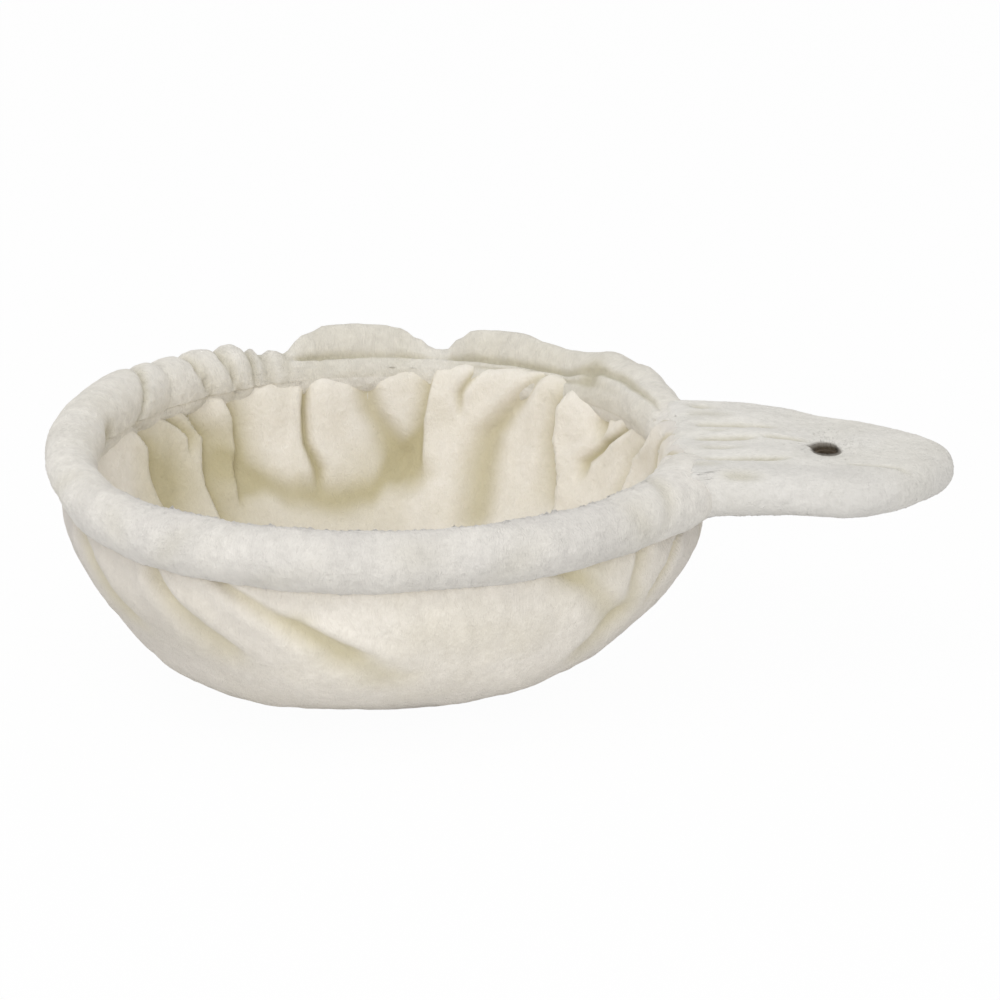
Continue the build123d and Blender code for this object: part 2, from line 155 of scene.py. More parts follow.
def raise_pile(piece, height_of, values, stray=0.16):
    """Draws a short tuft out of the middle of every face, and returns the given values spread to the
    new points.
    """
    plain = len(piece.data.vertices)
    chance = np.random.default_rng(7)
    normals = normals_of(piece)
    stir = chance.normal(0, 0.00022, (plain, 3))
    stir -= normals * (stir * normals).sum(axis=1)[:, None]
    set_points(piece, points_of(piece) + stir)
    clear_selection()
    piece.select_set(True)
    bpy.context.view_layer.objects.active = piece
    bpy.ops.object.mode_set(mode="EDIT")
    bpy.ops.mesh.select_mode(type="FACE")
    bpy.ops.mesh.select_all(action="SELECT")
    bpy.ops.mesh.poke(offset=0.0, center_mode="MEDIAN")
    bpy.ops.object.mode_set(mode="OBJECT")
    count = len(piece.data.vertices)
    ends = np.empty(len(piece.data.edges) * 2, dtype=int)
    piece.data.edges.foreach_get("vertices", ends)
    ends = ends.reshape(-1, 2)
    ends = np.sort(ends[ends.max(axis=1) >= plain], axis=1)
    share = np.bincount(ends[:, 1], minlength=count)[plain:]
    full = {}
    for name, value in values.items():
        mean = np.bincount(ends[:, 1], weights=value[ends[:, 0]], minlength=count)[plain:] / share
        full[name] = np.concatenate((value, mean))
    co = points_of(piece)
    tufts = height_of(co[plain:], normals_of(piece)[plain:], {k: v[plain:] for k, v in full.items()})
    length = 0.35 + 1.2 * chance.random(count - plain) ** 1.5
    co[plain:] += tufts * length[:, None] + np.linalg.norm(tufts, axis=1)[:, None] * chance.normal(
        0, stray, (count - plain, 3)
    ) * length[:, None]
    set_points(piece, co)
    return full


def around_ring(points):
    """Each point's angle round the ring in degrees, distance from its axis, and depth below it."""
    x, y = points[:, 0] - RING.x, points[:, 1] - RING.y
    return np.degrees(np.arctan2(y, x)), np.hypot(x, y), RING.z - points[:, 2]


# ---------------------------------------------------------------- camera

AZIMUTH, ELEVATION = math.radians(5), math.radians(18.7)
DISTANCE, LENS = 1.9, 112

camera_back = Vector((
    math.sin(AZIMUTH) * math.cos(ELEVATION),
    -math.cos(AZIMUTH) * math.cos(ELEVATION),
    math.sin(ELEVATION),
))
camera_right = Vector((math.cos(AZIMUTH), math.sin(AZIMUTH), 0))
camera_up = camera_back.cross(camera_right)
aim = RING + camera_right * 0.0737 - camera_up * 0.0256
camera_data = bpy.data.cameras.new("camera")
camera_data.lens, camera_data.sensor_width = LENS, 36
camera_data.clip_start, camera_data.clip_end = 0.05, 30
camera = bpy.data.objects.new("camera", camera_data)
camera.location = aim + camera_back * DISTANCE
camera.rotation_euler = (-camera_back).to_track_quat("-Z", "Y").to_euler()
bpy.context.collection.objects.link(camera)
bpy.context.scene.camera = camera


# ---------------------------------------------------------------- materials

class Finish:
    """One material and its nodes."""

    def __init__(self, name):
        self.material = bpy.data.materials.new(name)
        self.material.use_nodes = True
        self.tree = self.material.node_tree
        self.tree.nodes.clear()

    def node(self, kind, settings=None, **values):
        """Adds a node, sets its settings first, then its sockets' values or links."""
        made = self.tree.nodes.new("ShaderNode" + kind)
        for key, value in (settings or {}).items():
            if key == "stops":
                ramp = made.color_ramp
                for index, (place, colour) in enumerate(value):
                    if index >= len(ramp.elements):
                        ramp.elements.new(place)
                    ramp.elements[index].position = place
                    ramp.elements[index].color = (*colour, 1)
            else:
                setattr(made, key, value)
        for key, value in values.items():
            self.feed(made.inputs[SOCKETS.get(key, key.replace("_", " "))], value)
        return made

    def feed(self, socket, value):
        if isinstance(value, Value):
            self.tree.links.new(value.socket, socket)
        elif isinstance(value, bpy.types.NodeSocket):
            self.tree.links.new(value, socket)
        else:
            socket.default_value = value

    def value(self, kind, output=0, settings=None, **values):
        return Value(self, self.node(kind, settings, **values).outputs[output])

    def mix(self, factor, first, second):
        made = self.node("Mix", {"data_type": "RGBA"})
        self.feed(made.inputs[0], factor)
        self.feed(made.inputs[6], first if isinstance(first, Value) else (*first, 1))
        self.feed(made.inputs[7], second if isinstance(second, Value) else (*second, 1))
        return Value(self, made.outputs[2])

    def surface(self, constants, **values):
        shader = self.node("BsdfPrincipled", None, **values)
        for key, value in constants.items():
            shader.inputs[key].default_value = value
        out = self.node("OutputMaterial")
        self.tree.links.new(shader.outputs[0], out.inputs[0])
        return self.material


SOCKETS = {"Base": "Base Color"}


class Value:
    """A number on the surface, used in plain sums."""

    def __init__(self, finish, socket):
        self.finish, self.socket = finish, socket

    def sum(self, operation, first, second=0.0):
        made = self.finish.tree.nodes.new("ShaderNodeMath")
        made.operation = operation
        self.finish.feed(made.inputs[0], first)
        self.finish.feed(made.inputs[1], second)
        return Value(self.finish, made.outputs[0])

    def __add__(self, other):
        return self.sum("ADD", self, other)

    def __radd__(self, other):
        return self.sum("ADD", other, self)

    def __sub__(self, other):
        return self.sum("SUBTRACT", self, other)

    def __rsub__(self, other):
        return self.sum("SUBTRACT", other, self)

    def __mul__(self, other):
        return self.sum("MULTIPLY", self, other)

    def __rmul__(self, other):
        return self.sum("MULTIPLY", other, self)

    def clamped(self):
        made = self.sum("MULTIPLY", self, 1.0)
        made.socket.node.use_clamp = True
        return made


def plush(name, tip, root, fold, stroke=1.0, bored=None):
    """Short brushed plush: mottled pile with fine strokes, with painted shade: the fold colour in the
    creases, a dimmer colour where dusk is set, and a dark brown shade in a hole when that colour is
    given.
    """
    f = Finish(name)
    place = f.value("TexCoord", 3)
    lay = f.value("Attribute", 1, {"attribute_name": "lay"})
    # Painted shade kept on each mesh: one number mixes in the fold colour, and dusk dims the colour
    crease = f.value("Attribute", 2, {"attribute_name": "crease"}).clamped()
    dusk = f.value("Attribute", 2, {"attribute_name": "dusk"}).clamped()
    sway = f.value("TexNoise", 1, None, Vector=place, Scale=34.0, Detail=2.0)
    sway_small = f.value("VectorMath", 0, {"operation": "SCALE"}, Vector=sway, Scale=0.016)
    bent = f.node("VectorMath", {"operation": "ADD"})
    f.feed(bent.inputs[0], lay)
    f.feed(bent.inputs[1], sway_small)
    strokes = f.value(
        "Mapping", 0, None, Vector=Value(f, bent.outputs[0]), Scale=(1150.0, 270.0, 1.0)
    )
    strand = f.value("TexNoise", 0, None, Vector=strokes, Scale=1.0, Detail=3.0, Roughness=0.65)
    tuft = f.value("TexNoise", 0, None, Vector=place, Scale=210.0, Detail=3.0, Roughness=0.6)
    patch = f.value("TexNoise", 0, None, Vector=place, Scale=24.0, Detail=2.0, Roughness=0.5)
    pile = 0.5 * strand + 0.5 * tuft
    shade = ((pile - 0.34) * 3.1).clamped()
    body = f.mix(shade, root, tip)
    warm = f.mix(((patch - 0.42) * 2.2).clamped() * 0.22, body, fold)
    # Painted shade: dimmer, towards a greyed root colour, where dusk is set
    dimmed = f.mix(dusk, warm, tuple(c * k for c, k in zip(root, (0.80, 0.80, 0.83))))
    # Painted shade: the fold colour in the creases, pockets and undercuts
    colour = f.mix(crease * 0.85, dimmed, fold)
    # Painted shade: the hole's wall goes dark brown, standing in for the board deep in shade
    if bored:
        in_hole = f.value("Attribute", 2, {"attribute_name": "bored"}).clamped()
        colour = f.mix(in_hole, colour, bored)
    height = tuft * 0.55 + strand * (0.45 * stroke)
    bump = f.node("Bump", None, Height=height, Strength=0.85, Distance=0.0022)
    rough = 0.86 + 0.1 * strand
    return f.surface(
        {
            "Sheen Weight": 0.12, "Sheen Roughness": 0.6,
            "Specular IOR Level": 0.15,
        },
        Base=colour, Roughness=rough, Normal=bump.outputs[0],
    )


def steel(name, base, shine, streak):
    f = Finish(name)
    place = f.value("TexCoord", 3)
    drawn = f.value("Mapping", 0, None, Vector=place, Scale=streak)
    line = f.value("TexNoise", 0, None, Vector=drawn, Scale=1.0, Detail=4.0, Roughness=0.6)
    blot = f.value("TexNoise", 0, None, Vector=place, Scale=90.0, Detail=3.0)
    dull = f.mix(((blot - 0.4) * 2).clamped(), base, tuple(c * 0.72 for c in base))
    bump = f.node("Bump", None, Height=line, Strength=0.3, Distance=0.00008)
    return f.surface(
        {"Metallic": 1.0}, Base=dull, Roughness=shine + 0.22 * line, Normal=bump.outputs[0]
    )


def wood(name):
    f = Finish(name)
    place = f.value("TexCoord", 3)
    sway = f.value("TexNoise", 1, None, Vector=place, Scale=11.0, Detail=2.0)
    drift = f.value("VectorMath", 0, {"operation": "SCALE"}, Vector=sway, Scale=0.02)
    bent = f.node("VectorMath", {"operation": "ADD"})
    f.feed(bent.inputs[0], place)
    f.feed(bent.inputs[1], drift)
    along = f.value("Mapping", 0, None, Vector=Value(f, bent.outputs[0]), Scale=(28.0, 460.0, 460.0))
    grain = f.value("TexNoise", 0, None, Vector=along, Scale=1.0, Detail=5.0, Roughness=0.62)
    pore = f.value("TexNoise", 0, None, Vector=along, Scale=5.0, Detail=2.0)
    light, dark = (0.13, 0.095, 0.06), (0.055, 0.042, 0.028)
    colour = f.mix(((grain - 0.32) * 2.6).clamped(), dark, light)
    bump = f.node("Bump", None, Height=grain * 0.7 + pore * 0.3, Strength=0.35, Distance=0.0002)
    return f.surface({}, Base=colour, Roughness=0.62 + 0.2 * pore, Normal=bump.outputs[0])


def spongy(name, light, dark, cell, depth):
    f = Finish(name)
    place = f.value("TexCoord", 3)
    cells = f.value("TexVoronoi", 0, {"feature": "F1"}, Vector=place, Scale=cell)
    cloud = f.value("TexNoise", 0, None, Vector=place, Scale=60.0, Detail=3.0)
    shade = (cells * 1.3 + (cloud - 0.5) * 0.6).clamped()
    bump = f.node("Bump", None, Height=1.0 - cells, Strength=0.6, Distance=depth)
    return f.surface(
        {}, Base=f.mix(shade, light, dark), Roughness=0.85 + 0.1 * cloud, Normal=bump.outputs[0]
    )


def twisted_thread(name, light, dark):
    f = Finish(name)
    place = f.value("TexCoord", 3)
    twist = f.value(
        "TexWave", 1, {"wave_type": "BANDS", "bands_direction": "DIAGONAL"},
        Vector=place, Scale=900.0, Distortion=1.0,
    )
    bump = f.node("Bump", None, Height=twist, Strength=0.5, Distance=0.0001)
    return f.surface({}, Base=f.mix(twist, dark, light), Roughness=0.7 + 0.15 * twist,
                     Normal=bump.outputs[0])


# The third colour is painted shade in folds and creases, and it also tints random patches a little. The
# arm's last colour is a painted dark shade in its hole.
plush_rim = plush("rim plush", (0.93, 0.895, 0.83), (0.77, 0.74, 0.685), (0.54, 0.50, 0.37), 1.3)
plush_bag = plush("bag plush", (0.95, 0.90, 0.82), (0.81, 0.76, 0.68), (0.64, 0.575, 0.38))
plush_lining = plush("lining plush", (0.95, 0.905, 0.83), (0.86, 0.815, 0.73), (0.51, 0.45, 0.255), 0.7)
plush_arm = plush(
    "arm plush", (0.87, 0.845, 0.795), (0.75, 0.73, 0.68), (0.54, 0.51, 0.40), 1.0, (0.095, 0.075, 0.05)
)


# ---------------------------------------------------------------- bag and lining

def draw_down(name, profile, sides, smooth_levels):
    """An open tube drawn down ring by ring from a circle, closed at its middle below."""
    clear_selection()
    depth, radius = profile[0]
    bpy.ops.mesh.primitive_circle_add(
        vertices=sides, radius=radius, fill_type="NOTHING",
        location=(RING.x, RING.y, RING.z - depth),
    )
    piece = bpy.context.object
    piece.name = name
    bpy.ops.object.mode_set(mode="EDIT")
    bpy.ops.mesh.select_all(action="SELECT")
    for next_depth, next_radius in profile[1:]:
        bpy.ops.mesh.extrude_edges_move(
            TRANSFORM_OT_translate={"value": (0, 0, depth - next_depth)}
        )
        grow = next_radius / radius
        bpy.ops.transform.resize(value=(grow, grow, 1), center_override=(RING.x, RING.y, 0))
        depth, radius = next_depth, next_radius
    bpy.ops.mesh.merge(type="CENTER")
    bpy.ops.mesh.select_all(action="SELECT")
    bpy.ops.mesh.normals_make_consistent(inside=False)
    bpy.ops.object.mode_set(mode="OBJECT")
    keep_place_in_mesh(piece)
    use_modifier(
        piece, "SUBSURF", levels=smooth_levels, render_levels=smooth_levels,
        boundary_smooth="PRESERVE_CORNERS",
    )
    return piece


def across_fold(path, angle, down, cloth_radius):
    """Millimetres from a fold line to each point, more towards smaller angles, and its width."""
    downs = [p[1] for p in path]
    middle = np.interp(down, downs, [p[0] for p in path])
    width = np.interp(down, downs, [p[2] for p in path])
    return -turn_between(angle, middle) * math.radians(1) * cloth_radius, width


def along_fold(path, down, fade):
    """1 along a fold line, fading to 0 beyond its ends."""
    first, last = path[0][1], path[-1][1]
    return ease(down, first - fade, first + 1) * (1 - ease(down, last - 1, last + 2 * fade))


def fold_shape(kind, away, width, high, deep):
    """Height of the cloth across a fold in millimetres, and how deep in shade it lies."""
    if kind == "slit":
        cut = hump(away, 0, width)
        shoulders = hump(np.abs(away), 2.6 * width, 2.0 * width)
        return high * shoulders - deep * cut, cut
    if kind == "valley":
        cut = hump(away, 0, width)
        return high * hump(np.abs(away), 1.9 * width, width) - deep * cut, 0.75 * cut
    past = 0.5 * (1 + np.tanh(away / 0.9))
    top = (1 - past) * hump(away, 0, width)
    drop = past * np.exp(-np.clip(away, 0, None) / width)
    return high * top - deep * drop, drop


def spin(points, degrees):
    """Turns each point about the ring's axis by its own angle."""
    turn = np.radians(degrees)
    x, y = points[:, 0] - RING.x, points[:, 1] - RING.y
    return np.column_stack((
        RING.x + x * np.cos(turn) - y * np.sin(turn),
        RING.y + x * np.sin(turn) + y * np.cos(turn),
        points[:, 2],
    ))


FOLD_FADE = 9


def lay_folds(piece, folds, cloth_radius, down_of):
    """Draws the mesh together at each fold, then gives every point its height and shade."""
    co = points_of(piece)
    angle, radius, depth = around_ring(co)
    down = down_of(depth * MM_PER_METRE, radius * MM_PER_METRE)
    per_degree = math.radians(1) * cloth_radius
    gather = np.zeros(len(co))
    for kind, _, path, _, _ in folds:
        away, _ = across_fold(path, angle, down, cloth_radius)
        pull, reach = (0.15, 14.0) if kind == "valley" else (0.5, 7.0)
        along = along_fold(path, down, FOLD_FADE)
        gather += away * pull * hump(away, 0, reach) / per_degree * along
    co = spin(co, gather)
    angle = around_ring(co)[0]
    height, shade, lap = np.zeros(len(co)), np.zeros(len(co)), np.zeros(len(co))
    for kind, way, path, high, deep in folds:
        away, width = across_fold(path, angle, down, cloth_radius)
        lift, dark = fold_shape(kind, away * way, width, high, deep)
        along = along_fold(path, down, FOLD_FADE)
        height += lift * along
        shade += dark * along
        if kind == "edge":
            lap -= way * 0.45 * high * hump(away * way, -1.8, 2.6) * along / per_degree
    return spin(co, lap), angle, down, height, shade


bag = draw_down(
    "bag_plush",
    [
        (0.009, 0.1895), (0.019, 0.192), (0.032, 0.1930), (0.050, 0.188), (0.068, 0.1775),
        (0.086, 0.164), (0.102, 0.146), (0.115, 0.122), (0.125, 0.097), (0.1310, 0.076),
        (0.1317, 0.052), (0.1317, 0.026),
    ],
    60, 3,
)
# Each fold: kind, the way it laps, its line as (degrees, millimetres down, width), ridge, depth
bag_folds = [
    ("valley", 1, [(-127, 13, 4), (-125, 24, 6), (-120, 38, 9), (-112, 62, 13)], 1.6, 5.0),
    ("valley", 1, [(-115, 11, 4.5), (-108, 22, 7), (-100, 36, 10), (-90, 54, 14)], 1.4, 4.2),
    ("valley", 1, [(-97, 36, 9), (-90, 52, 13), (-83, 70, 18)], 1.2, 1.7),
    ("valley", 1, [(-151, 12, 8), (-143, 32, 11), (-136, 56, 15)], 1.0, 3.4),
    ("valley", 1, [(-52, 12, 7), (-45, 28, 9), (-38, 52, 13)], 1.0, 2.8),
    ("valley", 1, [(-31, 18, 5), (-34, 34, 6), (-34, 50, 8), (-40, 74, 12)], 1.4, 3.0),
    ("slit", 1, [(-9, 10, 3), (-20, 24, 3.6), (-27, 44, 6)], 1.8, 3.8),
    ("slit", 1, [(2, 10, 4), (-6, 32, 5), (-12, 62, 9)], 1.6, 3.8),
    ("valley", 1, [(18, 10, 6), (15, 38, 8), (18, 70, 12)], 1.4, 4.0),
    ("valley", 1, [(36, 12, 6), (38, 44, 9), (43, 80, 12)], 1.4, 4.2),
    ("slit", 1, [(55, 12, 4), (60, 44, 6), (66, 84, 9)], 1.8, 4.4),
    ("valley", 1, [(80, 12, 7), (84, 40, 9), (92, 76, 13)], 1.2, 4.2),
    ("slit", 1, [(104, 12, 4), (108, 46, 6), (115, 86, 9)], 1.8, 4.6),
    ("valley", 1, [(129, 12, 7), (132, 38, 9), (138, 68, 12)], 1.2, 4.2),
    ("valley", 1, [(152, 12, 6), (157, 44, 9), (162, 84, 12)], 1.4, 4.4),
    ("valley", 1, [(176, 12, 7), (181, 40, 10), (188, 72, 13)], 1.2, 3.8),
]
co, angle, down, fold, shade = lay_folds(bag, bag_folds, 185, lambda depth, radius: depth)
set_points(bag, co)
on_wall = 1 - ease(down, 104, 128)
out = 2.0 * soft_noise(co, 16, 1) + 1.0 * soft_noise(co, 42, 2) + 0.5 * soft_noise(co, 105, 3)
out += 0.28 * soft_noise(co, 230, 4)
out = (out + 1.2 * ease(down, 10, 40) + fold) * on_wall
gathers = np.sin(np.radians(angle) * 46 + 2.2 * np.sin(np.radians(angle) * 5))
out += 0.6 * gathers * (1 - ease(down, 16, 40))
# Where the photo shows the bag fuller or slimmer than its plain profile
fuller = [
    # degrees, millimetres down, height, half width in degrees, half width down
    (-6, 34, 4.6, 26, 26), (-124, 104, 4.4, 24, 18), (-150, 96, 1.0, 16, 20),
    (-68, 36, -1.0, 14, 22), (-172, 66, -6.5, 34, 32), (-172, 20, 2.0, 20, 14),
    (-100, 78, 2.0, 16, 22), (-60, 84, 1.6, 24, 22), (-137, 44, 2.2, 9, 22),
    (-118, 24, 1.6, 5, 14),
]
for at, low, high, wide, tall in fuller:
    out += high * turn_hump(angle, at, wide) * hump(down, low, tall)
co = co + normals_of(bag) * (out * MM)[:, None]
co[:, 2] = np.maximum(co[:, 2], FLOOR)
set_points(bag, co)
# Painted shade: darker in the folds, under the roll's edge, and in patches on the bag's front and front
# left
painted_shade = 0.6 * turn_hump(angle, -46, 7) * hump(down, 19, 9)
painted_shade += 0.15 * turn_hump(angle, -128, 26) * hump(down, 52, 34)
painted_shade += 0.12 * turn_hump(angle, -66, 12) * hump(down, 44, 14)
painted_shade += 0.35 * (1 - ease(down, 9, 20))
store(bag, "crease", np.clip(shade * 0.8 + painted_shade, 0, 1) * on_wall)
# Painted shade: a little dimmer all over, more on the front left, the left, beside the arm and towards
# the bottom, and less at the front middle
dusk = 0.26 + 0.6 * turn_hump(angle, -128, 26) * hump(down, 50, 44)
dusk += 0.5 * turn_hump(angle, -158, 16) + 0.3 * turn_hump(angle, -14, 12)
dusk += 0.25 * ease(down, 96, 128) - 0.34 * turn_hump(angle, -82, 44) * hump(down, 56, 40)
store(bag, "dusk", np.clip(dusk + 0.12 * soft_noise(co, 36, 9), 0, 1))
down_cloth = down / MM_PER_METRE + (0.19 - around_ring(co)[1]) * 0.8
store_lay(bag, np.abs(np.radians(angle)) * 0.17, down_cloth)
use_modifier(bag, "SOLIDIFY", thickness=0.005, offset=-1)

lining = draw_down(
    "lining_plush",
    [
        (0.0000, 0.1870), (0.0020, 0.1810), (0.0050, 0.1765), (0.016, 0.1760), (0.030, 0.1742),
        (0.046, 0.1702), (0.062, 0.1630), (0.078, 0.1525), (0.092, 0.1390), (0.102, 0.1240),
        (0.1075, 0.1030), (0.1088, 0.0700), (0.1088, 0.0300),
    ],
    56, 3,
)
lining_folds = [
    ("edge", 1, [(165, -8, 9), (161, 5, 10), (158, 19, 12), (159, 40, 13), (158, 72, 14)], 5.0, 4.6),
    ("edge", 1, [(157, -10, 6), (154, -2, 6), (150, 6, 7), (146, 15, 8), (144, 22, 9)], 3.0, 3.6),
    ("edge", 1, [(147, -4, 7), (143, 11, 8), (140, 26, 11), (141.5, 42, 13), (142.5, 56, 14),
                 (142, 80, 15)], 4.6, 4.6),
    ("edge", 1, [(135, -4, 8), (132, 16, 10), (132, 39, 12), (134, 60, 13)], 4.4, 4.2),
    ("slit", 1, [(113, -4, 2.0), (114, 20, 2.2), (114, 42, 2.6), (112, 58, 4)], 2.6, 6.0),
    ("valley", 1, [(101, -2, 6), (99, 23, 8), (96, 36, 9), (94, 46, 11), (90, 64, 13)], 1.6, 5.0),
    ("edge", -1, [(84, -6, 7), (86, 15, 9), (87, 29, 10), (87, 50, 12)], 3.0, 3.0),
    ("slit", 1, [(74, -10, 2.0), (76, 3, 2.6), (79, 13, 3.4)], 1.8, 3.8),
    ("valley", 1, [(57, -9, 3.5), (63, 8, 6), (68, 20, 8), (72, 35, 10), (73, 54, 12),
                   (72, 82, 14)], 1.8, 7.0),
    ("edge", -1, [(46, -11, 9), (51, 1, 10), (53, 10, 12), (54, 30, 13), (50, 60, 14)], 6.0, 5.0),
    ("valley", 1, [(41, -10, 4.0), (41.5, 2, 4.6), (42, 12, 5.2)], 1.2, 5.6),
    ("slit", 1, [(22, -14, 3.0), (28, 2, 3.2), (33, 12, 3.4), (39, 21, 3.6), (45, 38, 4.0)], 2.0, 4.4),
    ("edge", -1, [(11, -14, 8), (14, 0, 9), (18, 11, 10), (26, 22, 11), (29, 48, 12)], 4.2, 4.2),
    ("slit", 1, [(2, -13, 2.6), (7, 2, 3.0), (13, 14, 4.0), (19, 34, 5)], 0.8, 1.6),
    ("slit", 1, [(-9, -12, 2.6), (-5, 4, 3.2), (2, 26, 5)], 0.8, 1.8),
    ("edge", -1, [(-30, -4, 8), (-33, 24, 11), (-30, 60, 14)], 3.4, 3.6),
    ("valley", 1, [(-47, -4, 5), (-50, 28, 9), (-46, 66, 12)], 1.6, 5.0),
    ("edge", 1, [(-66, -4, 8), (-68, 26, 11), (-62, 58, 14)], 3.2, 3.4),
    ("slit", 1, [(-88, -4, 3), (-90, 30, 4), (-86, 70, 6)], 2.4, 5.0),
    ("edge", -1, [(-109, -4, 8), (-112, 26, 11), (-108, 58, 14)], 3.4, 3.4),
    ("valley", 1, [(-130, -4, 5), (-133, 28, 9), (-128, 66, 12)], 1.6, 5.0),
    ("slit", 1, [(-151, -4, 3), (-154, 24, 4), (-150, 58, 6)], 2.4, 5.0),
    ("edge", 1, [(-170, -4, 8), (-173, 26, 11), (-168, 60, 14)], 3.2, 3.6),
]


LIP_START, LIP_END, LIP_DEPTH = 176, 187, 12


def out_on_lip(depth, radius):
    """0 on the lining's wall, rising to 1 at its edge over the ring."""
    return np.clip((radius - LIP_START) / (LIP_END - LIP_START), 0, 1) * (depth < LIP_DEPTH)


def down_lining(depth, radius):
    """Millimetres down the cloth, less than nothing where it turns outwards over the ring."""
    return depth - 14 * out_on_lip(depth, radius)


co, angle, down, fold, shade = lay_folds(lining, lining_folds, 172, down_lining)
around, radius, depth = around_ring(co)
radius, depth = radius * MM_PER_METRE, depth * MM_PER_METRE
# At the arm the lining climbs over the ring to its seam on the arm's top
outer = out_on_lip(depth, radius)
climbs = np.where(
    around > 0,
    1 - ease(around, 16, 46),
    1 - ease(-around, 13 - 8 * outer, 25 - 14 * outer),
)
near_top = 1 - ease(depth, 0, 30)
lift = climbs * (14 * near_top + 3.6 * np.sin(math.pi * 0.86 * outer))
lift -= climbs * 13 * ease(outer, 0.1, 1.0) * ease(around, 12, 22)
edge_radius = 190 - 15 * ease(np.abs(around), 6, 24)
radius += climbs * (outer * (edge_radius - LIP_END) - 4 * near_top * (1 - outer))
co = np.column_stack((
    RING.x + radius * np.cos(np.radians(around)) * MM,
    RING.y + radius * np.sin(np.radians(around)) * MM,
    co[:, 2] + lift * MM,
))
set_points(lining, co)
pillows = [
    # degrees, millimetres down, height, half width round, half width down
    (168, 22, 3.0, 12, 30), (152, 26, 2.0, 8, 16), (135, 10, 3.4, 7, 18), (122, 18, 4.6, 15, 26),
    (109, 13, 4.8, 9, 24), (107, 46, 2.5, 18, 22), (91, 16, 4.2, 11, 26), (80, 30, 3.4, 12, 26),
    (67, 6, 4.0, 14, 18), (57, 6, 4.0, 18, 20), (60, 34, 4.6, 8, 30), (78, 8, 3.0, 9, 16),
    (47, 20, 5.6, 10, 26), (35, 40, 3.2, 12, 18), (34, 16, 2.0, 7, 16), (120, 58, 3.6, 26, 18),
    (84, 80, 5.0, 20, 16),
]
swell = np.zeros(len(co))
for at, low, high, wide, tall in pillows:
    swell += high * hump(turn_between(angle, at) * 3.0, 0, wide) * hump(down, low, tall)
on_wall = 1 - ease(depth, 90, 106)
# The foot of the wall at the back, where the cloth turns under before the floor
foot = rounded([84, 88, 94, 100, 108, 119, 128, 136], [36, 50, 69, 82, 85, 79, 68, 54], angle)
at_foot = ease(angle, 84, 92) * (1 - ease(angle, 132, 140))
under = hump(depth - foot, -8, 9) * at_foot
beyond = hump(depth - foot, 8, 8) * at_foot
loose = 1.6 * soft_noise(co, 18, 5) + 0.8 * soft_noise(co, 46, 6) + 0.45 * soft_noise(co, 110, 7)
loose += 0.25 * soft_noise(co, 230, 8)
inward = (swell + fold * (0.5 + 0.5 * ease(down, 0, 15))) * on_wall
inward = inward + loose * (0.35 + 0.65 * on_wall) - 2.6 * under + 2.4 * beyond
inward += 1.6 * ease(depth, 6, 22) * on_wall
puffed = 1.0 + 1.6 * ease(angle, 45, 57) * (1 - ease(angle, 85, 100))
inward += puffed * ease(angle, 40, 50) * (1 - ease(depth, 2, 22))
inward *= 1 - ease(outer, 0.25, 0.9)
inward += 0.8 * climbs * hump(outer, 0.45, 0.35) * np.sin(np.radians(around) * 104)
co = co - normals_of(lining) * (inward * MM)[:, None]
raised = 0.5 * np.clip(swell, 0, 6) * (1 - ease(depth, 0, 18)) * (1 - climbs)
to_top = 1 - ease(depth, 0, 26)
raised += 7.5 * ease(angle, 45, 57) * (1 - ease(angle, 85, 100)) * to_top * (1 - climbs)
raised += (2.4 * hump(angle, 99, 5) - 2.6 * hump(angle, 88, 5)) * to_top
co[:, 2] += raised * MM
set_points(lining, co)
# Painted shade: darker in the folds, at the foot of the back wall, in two pockets at the back left and
# down the lower wall away from the arm, and a little lighter on the pillows
shade = np.clip(shade * (1 - 0.35 * climbs), 0, 1) * on_wall + 0.75 * under
shade += 0.8 * turn_hump(angle, 152, 9) * hump(down, 38, 28)
shade += 0.5 * turn_hump(angle, 134, 5) * hump(down, 40, 26)
shade += 0.25 * ease(depth, 26, 60) * on_wall * ease(np.abs(angle), 60, 100)
store(lining, "crease", np.clip(shade - 0.06 * np.clip(swell, 0, 6), 0, 1))
# Painted shade: a little dimmer all over and more at the back wall. The lining is also dimmed where it
# climbs over the ring at the arm.
dusk = 0.1 + 0.3 * turn_hump(angle, 98, 9) * hump(down, 30, 26)
dusk = dusk + 0.7 * climbs * ease(outer, 0, 0.4)
store(lining, "dusk", np.clip(dusk, 0, 1))
down_cloth = down / MM_PER_METRE + (0.175 - radius / MM_PER_METRE) * 0.8
store_lay(lining, np.abs(np.radians(angle)) * 0.15, down_cloth)
use_modifier(lining, "SOLIDIFY", thickness=0.003, offset=1)


# ---------------------------------------------------------------- rim

clear_selection()
bpy.ops.mesh.primitive_torus_add(
    location=RING, major_segments=760, minor_segments=100,
    major_radius=RING_RADIUS, minor_radius=0.015,
)
rim = bpy.context.object
rim.name = "rim_plush"
keep_place_in_mesh(rim)
co = points_of(rim)
angle, radius, depth = around_ring(co)
beside, above = (radius - RING_RADIUS), -depth
section = np.degrees(np.arctan2(above, beside))
full_round = angle % 360

